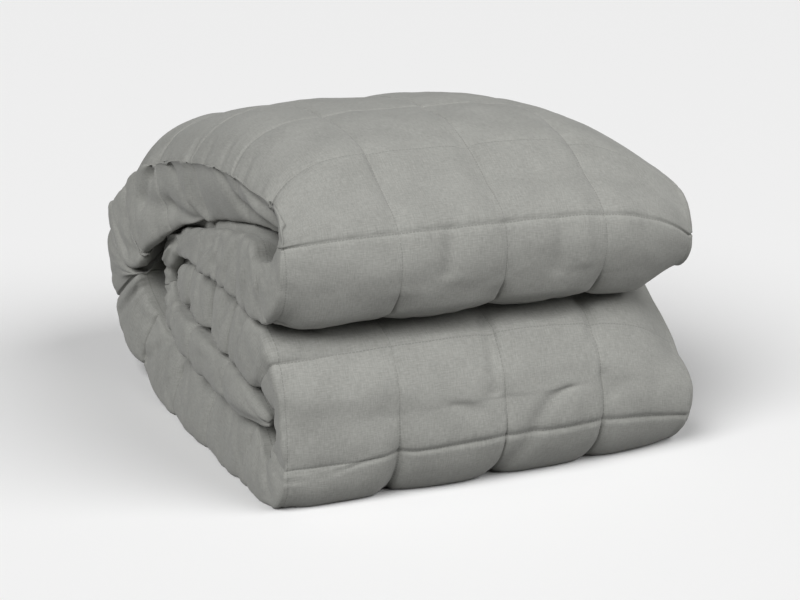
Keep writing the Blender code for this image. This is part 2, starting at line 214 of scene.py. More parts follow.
# Single folds.  Each runs from one place to another, given as a seam number and millimetres
# around the strip.  height: over the cloth, or under it where negative.
# Columns: seam_1, place_1, seam_2, place_2, height, width.
FOLDS = (
    (12.98, 400, 12.80, 418, -6.0, 5.5),      # ear of the wrap at the top band's back
    (12.80, 418, 12.42, 432, -6.0, 6.0),
    (13.82, 402, 13.77, 440, 3.2, 4.5),       # side of the top band
    (13.77, 440, 13.98, 462, 2.6, 5.0),
    (13.32, 402, 13.74, 456, -3.6, 5.5),
    (14.62, 408, 14.94, 441, -4.4, 6.5),
    (14.94, 441, 15.74, 456, -3.4, 7.0),
    (14.94, 405, 15.58, 423, -2.8, 5.5),
    (15.58, 423, 16.30, 432, -2.6, 6.0),
    (15.20, 418, 15.95, 445, 2.6, 6.0),
    (15.98, 402, 16.54, 413, -2.6, 6.0),
    (16.54, 413, 16.95, 409, -2.0, 7.0),
    (12.42, 431, 13.14, 444, -4.5, 7.0),      # wrap
    (13.14, 444, 13.82, 466, -4.5, 7.0),
    (11.38, 420, 11.40, 444, -3.0, 9.0),
    (11.40, 444, 11.80, 456, -3.5, 9.0),
    (9.72, 420, 9.50, 460, -4.5, 7.0),
    (8.95, 420, 8.50, 462, -5.0, 6.0),
    (8.20, 440, 7.90, 466, 3.0, 6.0),
    (7.35, 430, 7.00, 466, -3.0, 6.0),
    (22.08, 420, 20.87, 457, 2.5, 6.0),       # upper roll, underside layer
    (20.45, 420, 19.61, 462, 3.6, 5.0),
    (20.75, 425, 20.15, 462, -3.2, 5.0),
    (19.40, 425, 19.05, 462, -3.0, 5.0),
    (18.46, 436, 18.30, 462, 3.0, 6.0),
    (18.05, 415, 18.20, 440, -2.0, 6.0),
    (19.90, 415, 19.60, 440, -2.6, 5.0),
    (3.58, 440, 3.62, 400, 2.4, 4.5),         # lower roll, top layer
    (3.90, 445, 3.92, 385, 2.6, 4.5),
    (2.60, 450, 2.70, 405, -2.6, 7.0),
    (13.92, 400, 13.88, 386, -1.7, 3.5),      # puckers of the top at the left edge
    (14.30, 400, 14.27, 387, -1.5, 3.5),
    (14.72, 400, 14.71, 384, -1.8, 4.0),
    (15.25, 402, 15.22, 386, -1.5, 4.0),
    (22.00, 446, 22.30, 456, 5.0, 3.5),       # curled end of the underside layer
    (22.30, 456, 22.52, 442, -4.5, 3.0),
    (22.12, 432, 22.48, 428, 4.0, 3.5),
    (22.70, 420, 22.78, 462, -4.5, 4.0),
    (22.98, 425, 23.00, 462, 3.5, 4.0),       # crumpled back end of the tongue
    (23.16, 420, 23.10, 462, -4.5, 4.0),
    (23.42, 415, 23.48, 450, -4.0, 3.5),
    (23.62, 425, 23.58, 466, 3.0, 4.0),
    (23.85, 410, 23.95, 462, -4.5, 4.5),
    (24.45, 415, 24.35, 460, -3.0, 5.0),
    (25.00, 410, 25.10, 462, -4.0, 5.0),
    (1.05, 410, 0.95, 462, -3.5, 5.0),        # side of the lower roll's top layer
    (1.45, 420, 1.60, 460, 2.5, 5.0),
    (2.02, 408, 1.95, 462, -3.5, 5.0),
    (3.02, 410, 3.00, 460, -3.0, 5.0),
    (17.03, 252, 17.36, 258, -3.0, 7.0),      # soft troughs of the front faces
    (17.03, 196, 17.60, 190, -2.4, 8.0),
    (17.03, 145, 17.50, 148, -2.6, 7.0),
    (17.03, 122, 17.45, 120, 1.8, 6.0),
    (16.10, 292, 16.90, 300, -2.4, 9.0),
    (15.80, 205, 16.80, 203, -2.6, 9.0),
    (15.70, 98, 16.90, 100, -2.2, 9.0),
    (16.30, 150, 16.92, 158, -1.6, 8.0),
    (3.90, 206, 4.45, 210, -3.2, 7.0),
    (4.02, 203, 4.16, 204, -1.8, 4.0),
    (4.92, 170, 4.62, 138, -3.0, 7.0),
    (4.78, 232, 4.62, 246, -2.4, 8.0),
    (3.75, 100, 4.05, 101, -3.0, 6.0),
    (4.45, 97, 4.80, 91, -3.0, 6.0),
    (4.40, 310, 4.90, 302, -2.2, 9.0),
    (5.04, 178, 5.50, 205, -3.2, 8.0),
    (5.04, 300, 5.50, 306, -3.0, 8.0),
)

# Broad swellings between two seam numbers.  rise: height in the middle; quilted: share of it that
# dies away on the lengthwise seams; side: eased off over this distance from the two sides of the
# face, in millimetres.  Columns: first_seam, last_seam, rise, quilted, side.
SWELLINGS = (
    (3.25, 4.25, 4.0, 0.2, 60.0),       # the lower roll close under the upper one's lip
    (17.50, 18.90, 6.0, 1.0, 20.0),     # the lip hangs down between its seams
)

# The seam of the lower toe sinks at its left end: by how many squares, from which place on, over
# what distance, and within how many squares of the seam.
TOE_SEAM = 5.0
TOE_SAG = 0.15
TOE_SAG_START = 320.0
TOE_SAG_WIDTH = 80.0
TOE_SAG_REACH = 0.5

# A stitched seam is a groove with a lip on both sides.  Its depth is the line of the table above,
# and near the left edge it goes over to that of the edge.
GROOVE_WIDTH = 1.2
LIP_SHARE = 0.25
LIP_PLACE = 3.5
LIP_WIDTH = 1.8
LONG_LINE = 1.3                # depth of a lengthwise groove where the quilting is full
EDGE_LINE = 1.5
EDGE_LINE_SHARE = 0.7
EDGE_REACH = 30.0
FAR_FROM_SEAM = 99.0           # gap to the nearest lengthwise seam on the two sides of the strip
STITCH_LENGTH = 3.2            # one stitch and the gap after it
STITCH_SHARE = 0.7             # share of that with the thread on top
STITCH_THREAD = 0.7            # width of the thread

# Puckers at the seams and hollows between them.  Columns: height, size of a cell in the first
# and the second direction, and the seed of its random values.
PUCKERS_ACROSS = ((1.0, 11.0, 40.0, 3), (0.4, 6.0, 30.0, 4))
PUCKERS_LENGTHWISE = ((1.0, 16.0, 40.0, 5), (0.3, 7.0, 30.0, 6))
HOLLOWS = ((1.3, 70.0, 55.0, 7), (0.9, 31.0, 27.0, 8))
SLANTED_HOLLOWS = ((0.3, 13.0, 15.0, 9),)
SLANT = 0.4
PUCKER_HEIGHT = 0.8
PUCKER_START = 2.5
PUCKER_REACH = 13.0

# The sides of the strip have their whole profile from this thickness on.  The hollow of the left
# side is a bell at this share of its turn, and the top band's side is smoother than the rest.
FULL_THICKNESS = 50.0
SIDE_REACH_LIMIT = 0.5
HOLLOW_TURN = 0.22
HOLLOW_WIDTH = 0.16
WALL_MARGIN = 12.0
SMOOTH_SEAMS = (12.6, 17.6)
SMOOTH_FADE = 0.6
SMOOTH_SHARE = 0.75

# The open right side.  Columns of the lips and grooves: share of the thickness, width, height.
HEM_REACH = 13.0
HEM_SET_BACK = 5.0
HEM_GROOVED_FROM = 14.0
HEM_LIPS = ((0.15, 0.08, 3.0), (0.38, 0.08, 2.0))
HEM_GROOVES = ((0.262, 0.022, 16.0), (0.505, 0.024, 18.0))

# Millimetres around the strip: outer face, folded side, inner face, hems.
LEFT_WALL = 70.0
RIGHT_WALL = 60.0
LEFT_START = 2.0 * HALF_WIDTH
INNER_START = LEFT_START + LEFT_WALL
RIGHT_START = INNER_START + 2.0 * HALF_WIDTH
AROUND = RIGHT_START + RIGHT_WALL

# Spacing of the points within a square: first step from a seam, its growth, and the widest step.
SHOWN_MARKS = (0.9, 1.4, 4.0)
WALL_MARKS = (1.5, 1.5, 5.0)
INNER_MARKS = (4.0, 1.6, 9.0)
LEFT_WALL_POINTS = 26
RIGHT_WALL_POINTS = 34

DARK_CLOTH = (0.232, 0.233, 0.217)
LIGHT_CLOTH = (0.320, 0.321, 0.300)
THREAD_COLOUR = (0.22, 0.221, 0.206)
THREADS_PER_METRE = 1500.0
MOTTLE_RANGE = (0.36, 0.64)    # of the weave's mottle, from the dark cloth to the light
BUMP_STRENGTH = 0.35
BUMP_DEPTH = 0.0004

FLOOR_SIZE = 12.0              # metres from its middle to each side
FLOOR_SEEN = 0.85
FLOOR_THROWN_BACK = 0.3
SKY_STRENGTH = 0.03
CAMERA_PLACE = np.array([-706.6, -1326.6, 598.3])
CAMERA_DOWN = 15.95            # degrees
CAMERA_TURN = 24.6
LENS = 81.0
SENSOR_WIDTH = 36.0
# Columns: name; turn to the left from the front, height and spread in degrees; strength.
LIGHTS = (
    ("left", 58.0, 42.0, 40.0, 2.85),
    ("right", -40.0, 40.0, 45.0, 2.05),
)


# ---------------------------------------------------------------- the path of the strip

def path_table(side):
    """The path's columns by name, for the left (-1) or the right (+1) of the blanket."""
    table = {name: np.array([row[k] for row in PATH], float) for k, name in enumerate(PATH_COLUMNS)}
    if side > 0:
        table["side_in"][:] = 0.0
        for row in RIGHT_FRONT:
            here = np.argmin(abs(table["seam"] - row[0]))
            for name, value in zip(RIGHT_COLUMNS[1:], row[1:]):
                table[name][here] = value
    return table


def through_rows(rows):
    """Catmull-Rom curve through the rows, paced by the square root of the chords."""
    knots = np.vstack([2.0 * rows[0] - rows[1], rows, 2.0 * rows[-1] - rows[-2]])
    pieces = []
    for p0, p1, p2, p3 in zip(knots, knots[1:], knots[2:], knots[3:]):
        t0 = 0.0
        t1 = t0 + math.sqrt(math.dist(p0[:2], p1[:2]))
        t2 = t1 + math.sqrt(math.dist(p1[:2], p2[:2]))
        t3 = t2 + math.sqrt(math.dist(p2[:2], p3[:2]))
        t = np.linspace(t1, t2, PATH_STEPS, endpoint=False)[:, None]
        a1 = (t1 - t) / (t1 - t0) * p0 + (t - t0) / (t1 - t0) * p1
        a2 = (t2 - t) / (t2 - t1) * p1 + (t - t1) / (t2 - t1) * p2
        a3 = (t3 - t) / (t3 - t2) * p2 + (t - t2) / (t3 - t2) * p3
        b1 = (t2 - t) / (t2 - t0) * a1 + (t - t0) / (t2 - t0) * a2
        b2 = (t3 - t) / (t3 - t1) * a2 + (t - t1) / (t3 - t1) * a3
        pieces.append((t2 - t) / (t2 - t1) * b1 + (t - t1) / (t2 - t1) * b2)
    pieces.append(rows[-1:])
    return np.vstack(pieces)


def even_out(values, rounds):
    """Running mean (quarter, half, quarter) along the first axis with the ends held."""
    values = values.copy()
    for _ in range(rounds):
        values[1:-1] = 0.5 * values[1:-1] + 0.25 * (values[:-2] + values[2:])
    return values


def lowest_near(values, reach):
    """The lowest value within a few steps on both sides."""
    padded = np.pad(values, reach, mode="edge")
    return np.min([padded[k:k + len(values)] for k in range(2 * reach + 1)], axis=0)


def room_for(centre, direction, half):
    """Radius of the ball that touches the path here and elsewhere, shared by the two thicknesses."""
    apart = centre[None, :, :] - centre[:, None, :]
    ahead = (apart * direction[:, None, :]).sum(2)
    distance2 = (apart ** 2).sum(2)
    share = half[:, None] / (half[:, None] + half[None, :])
    radius = distance2 / np.maximum(ahead, LEAST_AHEAD) * share
    radius = np.where(ahead > LEAST_AHEAD, radius, FREE_ROOM).min(1)
    radius = np.minimum(radius - 0.5 * LAYER_GAP, SHARE_LIMIT * radius)
    return np.minimum(radius, even_out(lowest_near(radius, SETTLE_STEPS), SETTLE_STEPS))


def slice_columns(x, seams):
    """The strip where it crosses one position of the width, at the asked seams.

    Columns: y, z, outward y and z, half thickness, inset, room outside and inside.
    """
    table = path_table(1.0 if x > 0 else -1.0)
    power = np.interp(table["z"], DROP_HEIGHTS, RIGHT_DROP_POWER if x > 0 else LEFT_DROP_POWER)
    weight = abs(x / HALF_WIDTH) ** power
    columns = [(1.0 - weight) * table[name] + weight * table["side_" + name]
               for name in ("y", "z", "half")]
    rows = np.column_stack(columns + [weight * table["side_in"], table["seam"]])
    curve = even_out(through_rows(rows), PATH_ROUNDS)
    centre, half, inset, seam = curve[:, :2], curve[:, 2], curve[:, 3], curve[:, 4]
    along = np.gradient(centre, axis=0)
    along /= np.linalg.norm(along, axis=1)[:, None]
    outward = np.column_stack([along[:, 1], -along[:, 0]])
    room_out = room_for(centre, outward, half)
    room_in = room_for(centre, -outward, half)
    columns = np.column_stack([centre, outward, half, inset, room_out, room_in])
    return even_out(np.column_stack([np.interp(seams, seam, column) for column in columns.T]), 2)


# ---------------------------------------------------------------- the grid of points

def square_marks(first, growth, widest):
    """Shares of a square at which points lie: steps grow from both seams to the middle."""
    marks, step = [0.0], first
    while marks[-1] + 0.6 * step < 0.5 * SQUARE:
        marks.append(marks[-1] + step)
        step = min(step * growth, widest)
    marks = np.array(marks) * 0.5 / marks[-1]
    return np.concatenate([marks, 1.0 - marks[-2:0:-1]])


def station_seams():
    """Seam numbers of the rings of points."""
    seams = []
    for square in range(int(FIRST_SEAM), int(LAST_SEAM) + 1):
        marks = SHOWN_MARKS if SHOWN_SEAMS[0] <= square < SHOWN_SEAMS[1] else WALL_MARKS
        seams.append(square + square_marks(*marks))
    seams = np.concatenate(seams)
    seams = seams[(seams > FIRST_SEAM + END_MARGIN) & (seams < LAST_SEAM - END_MARGIN)]
    return np.concatenate([[FIRST_SEAM], seams, [LAST_SEAM]])


def lines_across(marks):
    """Positions across the width at which a face has a line of points."""
    shares = square_marks(*marks)
    lines = np.concatenate([SQUARE * (k + shares) - HALF_WIDTH for k in range(SQUARES_ACROSS)])
    return np.append(lines, HALF_WIDTH)


def cushion(position):
    """0 on a seam and 1 in the middle of a square: (1 - |2p - 1|^flatness)^fullness."""
    offset = abs(2.0 * (position - np.floor(position)) - 1.0)
    return (1.0 - np.minimum(offset, 1.0) ** CUSHION_FLATNESS) ** CUSHION_FULLNESS


def cushion_across(x):
    """The same across the width, kept fuller at the two sides of the strip."""
    value = cushion(x / SQUARE)
    return np.where(abs(x) > HALF_WIDTH - 0.5 * SQUARE, np.maximum(value, EDGE_FULLNESS), value)


def by_name(columns, rows):
    """A table's columns by name."""
    return dict(zip(columns, np.array(rows, float).T))


def quilt_rise(seams, x_lines):
    """Rise of each square from 0 to 1: what the two cushions leave, each eased by its strength."""
    levels = by_name(QUILT_COLUMNS, QUILTING)
    left, middle = (np.interp(np.round(seams), levels["seam"], levels[name])
                    for name in ("left", "middle"))
    lengthwise = np.interp(seams, levels["seam"], levels["lengthwise"])
    at_left = smooth_step((-x_lines - LEFT_ZONE_START) / LEFT_ZONE_WIDTH)[None, :]
    across = middle[:, None] + (left - middle)[:, None] * at_left
    rise = 1.0 - across * (1.0 - cushion(seams))[:, None]
    return rise * (1.0 - lengthwise[:, None] * (1.0 - cushion_across(x_lines))[None, :])


def tip_share(seams):
    """How much of its thickness the strip keeps towards its two free ends."""
    from_end = np.minimum(seams - FIRST_SEAM, LAST_SEAM - seams)
    return np.interp(from_end, *zip(*TIP_ROUNDING))


def side_x(x, inset):
    """Position across the width with the left side drawn in."""
    return x + inset * np.maximum(0.0, -x / HALF_WIDTH) ** LEFT_INSET_POWER


def smooth_step(value):
    """0 below 0 and 1 above 1, with level ends: 3v^2 - 2v^3."""
    value = np.clip(value, 0.0, 1.0)
    return value * value * (3.0 - 2.0 * value)


def bells(share, rows):
    """Sum of bells, height * exp(-((share - place) / width)^2)."""
    return sum(height * np.exp(-((share - place) / width) ** 2) for place, width, height in rows)


def hem_profile(share, thickness):
    """Reach of the open right side at a share of its thickness from the outer face.

    A rounded body, reach * (1 - |1 - 2s|^6)^0.4, with a lip for each of two hems over the folded
    edge, and two narrow grooves between.
    """
    full = np.minimum(1.0, thickness / FULL_THICKNESS)
    grooved = np.interp(thickness, (HEM_GROOVED_FROM, FULL_THICKNESS), (0.0, 1.0))
    body = HEM_REACH * (1.0 - abs(1.0 - 2.0 * share) ** 6) ** 0.4
    relief_of_hems = bells(share, HEM_LIPS) - HEM_SET_BACK - bells(share, HEM_GROOVES)
    return body * full + relief_of_hems * grooved


def wall_reach(seams, thickness, turn):
    """How far the folded left side stands out, by seam number and by turn from 0 to 1.

    An even side, reach * sin(pi t)^0.3, goes over by its lean into a lopsided one, reach * 1.25 t
    sin(pi t)^0.4 or the same from the other end, and the hollow is a bell near the outer face.
    """
    shape = by_name(WALL_COLUMNS, WALL)
    reach, tuck, lean, hollow = (np.interp(seams, shape["seam"], shape[name])[:, None]
                                 for name in ("reach", "tuck", "lean", "hollow"))
    reach = reach - tuck * (1.0 - cushion(seams))[:, None]
    reach = np.minimum(reach, SIDE_REACH_LIMIT * thickness[:, None])
    hollow = hollow * np.minimum(1.0, thickness / FULL_THICKNESS)[:, None]
    turn = turn[None, :]
    wave = np.sin(math.pi * turn)
    even = wave ** 0.3
    lopsided = 1.25 * np.where(lean > 0.0, turn, 1.0 - turn) * wave ** 0.4
    bell = np.exp(-((turn - HOLLOW_TURN) / HOLLOW_WIDTH) ** 2)
    return reach * (even + abs(lean) * (lopsided - even)) - hollow * bell


def cloth_grid():
    """Points of the whole surface, with its seam numbers, its places around and the free room.

    Outer and inner face: centre plus or minus the half thickness and the rise of the squares.
    Left side: half a round from one face to the other.  Right side: the hem profile.
    """
    seams = station_seams()
    outer_x = lines_across(SHOWN_MARKS)
    inner_x = lines_across(INNER_MARKS)
    slices = {x: slice_columns(x, seams) for x in sorted(set(outer_x) | set(inner_x))}
    shape = by_name(WALL_COLUMNS, WALL)
    undercut, fill = (np.interp(seams, shape["seam"], shape[name])[:, None]
                      for name in ("undercut", "fill"))

    def face(x_lines, side):
        columns = np.stack([slices[x] for x in x_lines], axis=1)
        centre, outward = columns[..., 0:2], columns[..., 2:4]
        half, inset = columns[..., 4], columns[..., 5]
        rise = quilt_rise(seams, x_lines)
        if side > 0:
            puff = PUFF_UP + (PUFF_DOWN - PUFF_UP) * 0.5 * (1.0 - outward[..., 1])
            room = columns[..., 6]
        else:
            puff = np.full_like(half, PUFF_IN)
            room = columns[..., 7]
        level = np.minimum(half + puff * rise, room)
        if side < 0:
            level = level + fill * smooth_step((-x_lines - FILL_START) / FILL_WIDTH)[None, :]
        place = centre + side * outward * (level * tip_share(seams)[:, None])[..., None]
        if side > 0:
            place[..., 1] = np.maximum(place[..., 1], 0.0)
        x = side_x(x_lines[None, :], inset + np.maximum(-side * undercut, 0.0))
        return np.concatenate([x[..., None], place], axis=2), np.maximum(room - level, 0.0)

    outer, outer_room = face(outer_x[::-1], 1.0)
    inner, inner_room = face(inner_x, -1.0)

    start, end = outer[:, -1], inner[:, 0]
    turn = np.arange(1, LEFT_WALL_POINTS + 1) / (LEFT_WALL_POINTS + 1.0)
    share = 0.5 * (1.0 - np.cos(math.pi * turn))
    left = start[:, None] + (end - start)[:, None] * share[None, :, None]
    left[..., 0] -= wall_reach(seams, np.linalg.norm(end - start, axis=1), turn)

    start, end = inner[:, -1], outer[:, 0]
    thickness = np.linalg.norm(end - start, axis=1)
    share = 1.0 - (np.arange(RIGHT_WALL_POINTS) + 1.0) / (RIGHT_WALL_POINTS + 1.0)
    right = end[:, None] + (start - end)[:, None] * share[None, :, None]
    right[..., 0] += hem_profile(share[None, :], thickness[:, None])

    points = np.concatenate([outer, left, inner, right], axis=1)
    places = np.concatenate([
        HALF_WIDTH - outer_x[::-1],
        LEFT_START + LEFT_WALL * np.arange(1, LEFT_WALL_POINTS + 1) / (LEFT_WALL_POINTS + 1),
        INNER_START + inner_x + HALF_WIDTH,
        RIGHT_START + RIGHT_WALL * (np.arange(RIGHT_WALL_POINTS) + 1.0) / (RIGHT_WALL_POINTS + 1.0),
    ])
    free = np.full(points.shape[:2], WALL_ROOM)
    free[:, :len(outer_x)] = outer_room
    free[:, len(outer_x) + LEFT_WALL_POINTS:][:, :len(inner_x)] = inner_room
    return points, seams, places, free


def grid_normals(points):
    """Unit normals of a grid that closes around: cross product of its two central differences."""
    along = np.gradient(points, axis=0)
    around = np.roll(points, -1, axis=1) - np.roll(points, 1, axis=1)
    normal = np.cross(around, along)
    return normal / np.maximum(np.linalg.norm(normal, axis=2), 1e-9)[..., None]


# ---------------------------------------------------------------- wrinkles and seams

def noise(u, v, seed):
    """Lattice noise from -1 to 1: random values at whole numbers, joined by smooth steps."""
    rng = np.random.default_rng(seed)
    table = rng.uniform(-1.0, 1.0, (61, 67))
    u, v = np.broadcast_arrays(u, v)
    i, j = np.floor(u).astype(int), np.floor(v).astype(int)
    fu, fv = smooth_step(u - i), smooth_step(v - j)
    def corner(di, dj):
        return table[(i + di) % table.shape[0], (j + dj) % table.shape[1]]
    low = corner(0, 0) * (1.0 - fu) + corner(1, 0) * fu
    high = corner(0, 1) * (1.0 - fu) + corner(1, 1) * fu
    return low * (1.0 - fv) + high * fv


def wrinkles(u, v, rows):
    """Sum of lattice noises, each with its height, cell sizes and seed."""
    return sum(height * noise(u / size_u, v / size_v, seed) for height, size_u, size_v, seed in rows)


def drawn(value):
    """Turns noise into cloth: rounded crests and narrow valleys."""
    return 1.0 - 1.6 * np.exp(-(value / 0.28) ** 2)


def seam_gap(position):
    """Distance in millimetres from the nearest whole number of squares."""
    return SQUARE * abs(position - np.round(position))


def relief(seams, places):
    """Height of the cloth over its squares, in millimetres.

    Stitched seams are narrow grooves with a small lip on both sides.  Puckers cross each seam
    and die out with the distance from it.  The fields between have soft, slight hollows.
    """
    s = seams[:, None] * SQUARE
    w = places[None, :]
    from_toe = (seams[:, None] - TOE_SEAM) / TOE_SAG_REACH
    sag = TOE_SAG * smooth_step((w - TOE_SAG_START) / TOE_SAG_WIDTH) * np.exp(-from_toe ** 2)
    across = seam_gap(seams[:, None] - sag)
    on_faces = (w <= LEFT_START) | ((w >= INNER_START) & (w <= RIGHT_START))
    lengthwise = seam_gap(np.where(w <= LEFT_START, w, w - LEFT_WALL) / SQUARE)
    lengthwise = np.broadcast_to(np.where(on_faces, lengthwise, FAR_FROM_SEAM), across.shape)
    levels = by_name(QUILT_COLUMNS, QUILTING)
    line = np.interp(np.round(seams), levels["seam"], levels["line"])[:, None]
    long_line = LONG_LINE * np.interp(seams, levels["seam"], levels["lengthwise"])[:, None]
    edge = np.exp(-((w - LEFT_START) / EDGE_REACH) ** 2)
    line = line + EDGE_LINE_SHARE * edge * (EDGE_LINE - line)
    height = np.zeros(across.shape)
    for gap, depth in ((across, line), (lengthwise, long_line)):
        height -= depth * np.exp(-(gap / GROOVE_WIDTH) ** 2)
        height += LIP_SHARE * depth * np.exp(-((gap - LIP_PLACE) / LIP_WIDTH) ** 2)
    puckers = ((across, wrinkles(w, s, PUCKERS_ACROSS)), (lengthwise, wrinkles(s, w, PUCKERS_LENGTHWISE)))
    for gap, pucker in puckers:
        height += PUCKER_HEIGHT * pucker * np.exp(-gap / PUCKER_REACH) * smooth_step(gap / PUCKER_START)
    height += wrinkles(s, w, HOLLOWS)
    height += wrinkles(s + SLANT * w, w - SLANT * s, SLANTED_HOLLOWS)
    return height


def swellings(seams, places):
    """The table's swellings: sin^2 from the first seam number to the last, eased off at the sides."""
    height = np.zeros((len(seams), len(places)))
    for first, last, rise, quilted, side in SWELLINGS:
        along = np.sin(math.pi * np.clip((seams - first) / (last - first), 0.0, 1.0)) ** 2
        across = smooth_step(places / side) * smooth_step((LEFT_START - places) / side)
        across = across * (1.0 - quilted * (1.0 - cushion(places / SQUARE)))
        height += rise * along[:, None] * across[None, :]
    return height


def wall_relief(seams, places):
    """Folds of the left side, where the cloth is pressed together: drawn valleys across it."""
    s = seams[:, None] * SQUARE
    w = places[None, :]
    on_wall = smooth_step((w - LEFT_START + WALL_MARGIN) / (2.0 * WALL_MARGIN))
    on_wall = on_wall * smooth_step((INNER_START + WALL_MARGIN - w) / (2.0 * WALL_MARGIN))
    forward = drawn(noise((s + 0.5 * (w - LEFT_START)) / 34.0, w / 60.0, 21))
    backward = drawn(noise((s - 0.7 * w) / 25.0, w / 45.0, 22))
    first, last = SMOOTH_SEAMS
    smooth = smooth_step((seams - first) / SMOOTH_FADE) * smooth_step((last - seams) / SMOOTH_FADE)
    return on_wall * (1.5 * forward + 0.9 * backward) * (1.0 - SMOOTH_SHARE * smooth[:, None])


def single_folds(seams, places):
    """The table's folds, each a bell across its line with rounded ends, on the plane of the cloth."""
    s = seams[:, None] * SQUARE
    w = places[None, :]
    height = np.zeros((len(seams), len(places)))
    for seam_1, place_1, seam_2, place_2, rise, width in FOLDS:
        start = np.array([seam_1 * SQUARE, place_1])
        line = np.array([seam_2 * SQUARE, place_2]) - start
        length = np.linalg.norm(line)
        line = line / length
        along = (s - start[0]) * line[0] + (w - start[1]) * line[1]
        beside = (s - start[0]) * line[1] - (w - start[1]) * line[0]
        beyond = np.maximum(np.maximum(-along, along - length), 0.0)
        height += rise * np.exp(-(beside / width) ** 2 - (beyond / (1.2 * width)) ** 2)
    return height


points, seams, places, free = cloth_grid()
points = points + FROM_TABLE
height = relief(seams, places) + wall_relief(seams, places) + single_folds(seams, places)
height = np.minimum(height, free + OVER_ROOM) + swellings(seams, places)
normals = grid_normals(points)
points = points + normals * height[..., None]
points[..., 2] = np.maximum(points[..., 2], 0.0)


# ---------------------------------------------------------------- meshes

def end_faces(outer_count, inner_count, around):
    """Triangles that close a ring: across between its two faces, and over its two sides."""
    outer_x = lines_across(SHOWN_MARKS)
    inner_x = lines_across(INNER_MARKS)
    last_outer = outer_count - 1
    first_inner = outer_count + LEFT_WALL_POINTS
    last_inner = first_inner + inner_count - 1
    faces = [(last_outer, k, k + 1) for k in range(last_outer + 1, first_inner)]
    faces += [(0, k, (k + 1) % around) for k in range(last_inner, around)]
    faces = [face for face in faces if len(set(face)) == 3]
    i, j = 0, 0
    while i < outer_count - 1 or j < inner_count - 1:
        outer, inner = last_outer - i, first_inner + j
        if j == inner_count - 1 or (i < outer_count - 1 and outer_x[i + 1] <= inner_x[j + 1]):
            faces.append((outer, inner, outer - 1))
            i += 1
        else:
            faces.append((outer, inner, inner + 1))
            j += 1
    return faces


def cloth_mesh(name, points, seams, places):
    """The grid as quads that close around, with a map in metres of cloth."""
    count, around = points.shape[:2]
    i = np.arange(count - 1)[:, None]
    j = np.arange(around)[None, :]
    k = (j + 1) % around
    quads = np.stack([i * around + j, i * around + k, (i + 1) * around + k, (i + 1) * around + j], axis=-1)
    quads = quads.reshape(-1, 4)
    u = np.append(places, AROUND)
    lane = np.broadcast_to(j, (count - 1, around)).reshape(-1)
    ring = np.broadcast_to(i, (count - 1, around)).reshape(-1)
    uv = np.stack([
        np.stack([u[lane], u[lane + 1], u[lane + 1], u[lane]], axis=-1),
        np.stack([seams[ring], seams[ring], seams[ring + 1], seams[ring + 1]], axis=-1) * SQUARE,
    ], axis=-1) * MM
    ends = []
    last = (count - 1) * around
    for a, b, c in end_faces(len(lines_across(SHOWN_MARKS)), len(lines_across(INNER_MARKS)), around):
        ends.append((a, c, b))
        ends.append((last + a, last + b, last + c))
    mesh = bpy.data.meshes.new(name)
    mesh.from_pydata((points.reshape(-1, 3) * MM).tolist(), [], quads.tolist() + ends)
    layer = mesh.uv_layers.new(name="cloth")
    values = np.zeros((len(mesh.loops), 2))
    values[:quads.size] = uv.reshape(-1, 2)
    layer.data.foreach_set("uv", values.reshape(-1))
    mesh.shade_smooth()
    mesh.update()
    return mesh


def add_piece(name, mesh, material):
    """An object at the origin that rides on the blanket's body."""
    mesh.materials.append(material)
    piece = bpy.data.objects.new(name, mesh)
    bpy.context.scene.collection.objects.link(piece)
    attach(piece, "root")
    return piece


# ---------------------------------------------------------------- finishes

def calculate(group, operation, *values):
    """The output of a math node with numbers or sockets for its inputs."""
    node = group.nodes.new("ShaderNodeMath")
    node.operation = operation
    for socket, value in zip(node.inputs, values):
        if isinstance(value, (int, float)):
            socket.default_value = value
        else:
            group.links.new(value, socket)
    return node.outputs[0]


def stitch_group():
    """Rows of short stitches along both sets of seams, from a map in metres of cloth.

    A stitch lies where the gap to the nearest seam is under half a thread, for the first part of
    each stitch length along the seam.
    """
    group = bpy.data.node_groups.new("stitch rows", "ShaderNodeTree")
    group.interface.new_socket("Cloth map", in_out="INPUT", socket_type="NodeSocketVector")
    group.interface.new_socket("Thread", in_out="OUTPUT", socket_type="NodeSocketFloat")
    given = group.nodes.new("NodeGroupInput")
    result = group.nodes.new("NodeGroupOutput")
    split = group.nodes.new("ShaderNodeSeparateXYZ")
    group.links.new(given.outputs["Cloth map"], split.inputs["Vector"])
    around, along = split.outputs["X"], split.outputs["Y"]
    inner = calculate(group, "GREATER_THAN", around, (LEFT_START + 0.5 * LEFT_WALL) * MM)
    across = calculate(group, "SUBTRACT", around, calculate(group, "MULTIPLY", inner, LEFT_WALL * MM))
    rows = []
    for beside, onward in ((along, around), (across, along)):
        gap = calculate(group, "PINGPONG", beside, 0.5 * SQUARE * MM)
        on_line = calculate(group, "LESS_THAN", gap, 0.5 * STITCH_THREAD * MM)
        stitch = calculate(group, "FRACT", calculate(group, "DIVIDE", onward, STITCH_LENGTH * MM))
        on_top = calculate(group, "LESS_THAN", stitch, STITCH_SHARE)
        rows.append(calculate(group, "MULTIPLY", on_line, on_top))
    group.links.new(calculate(group, "MAXIMUM", *rows), result.inputs["Thread"])
    return group


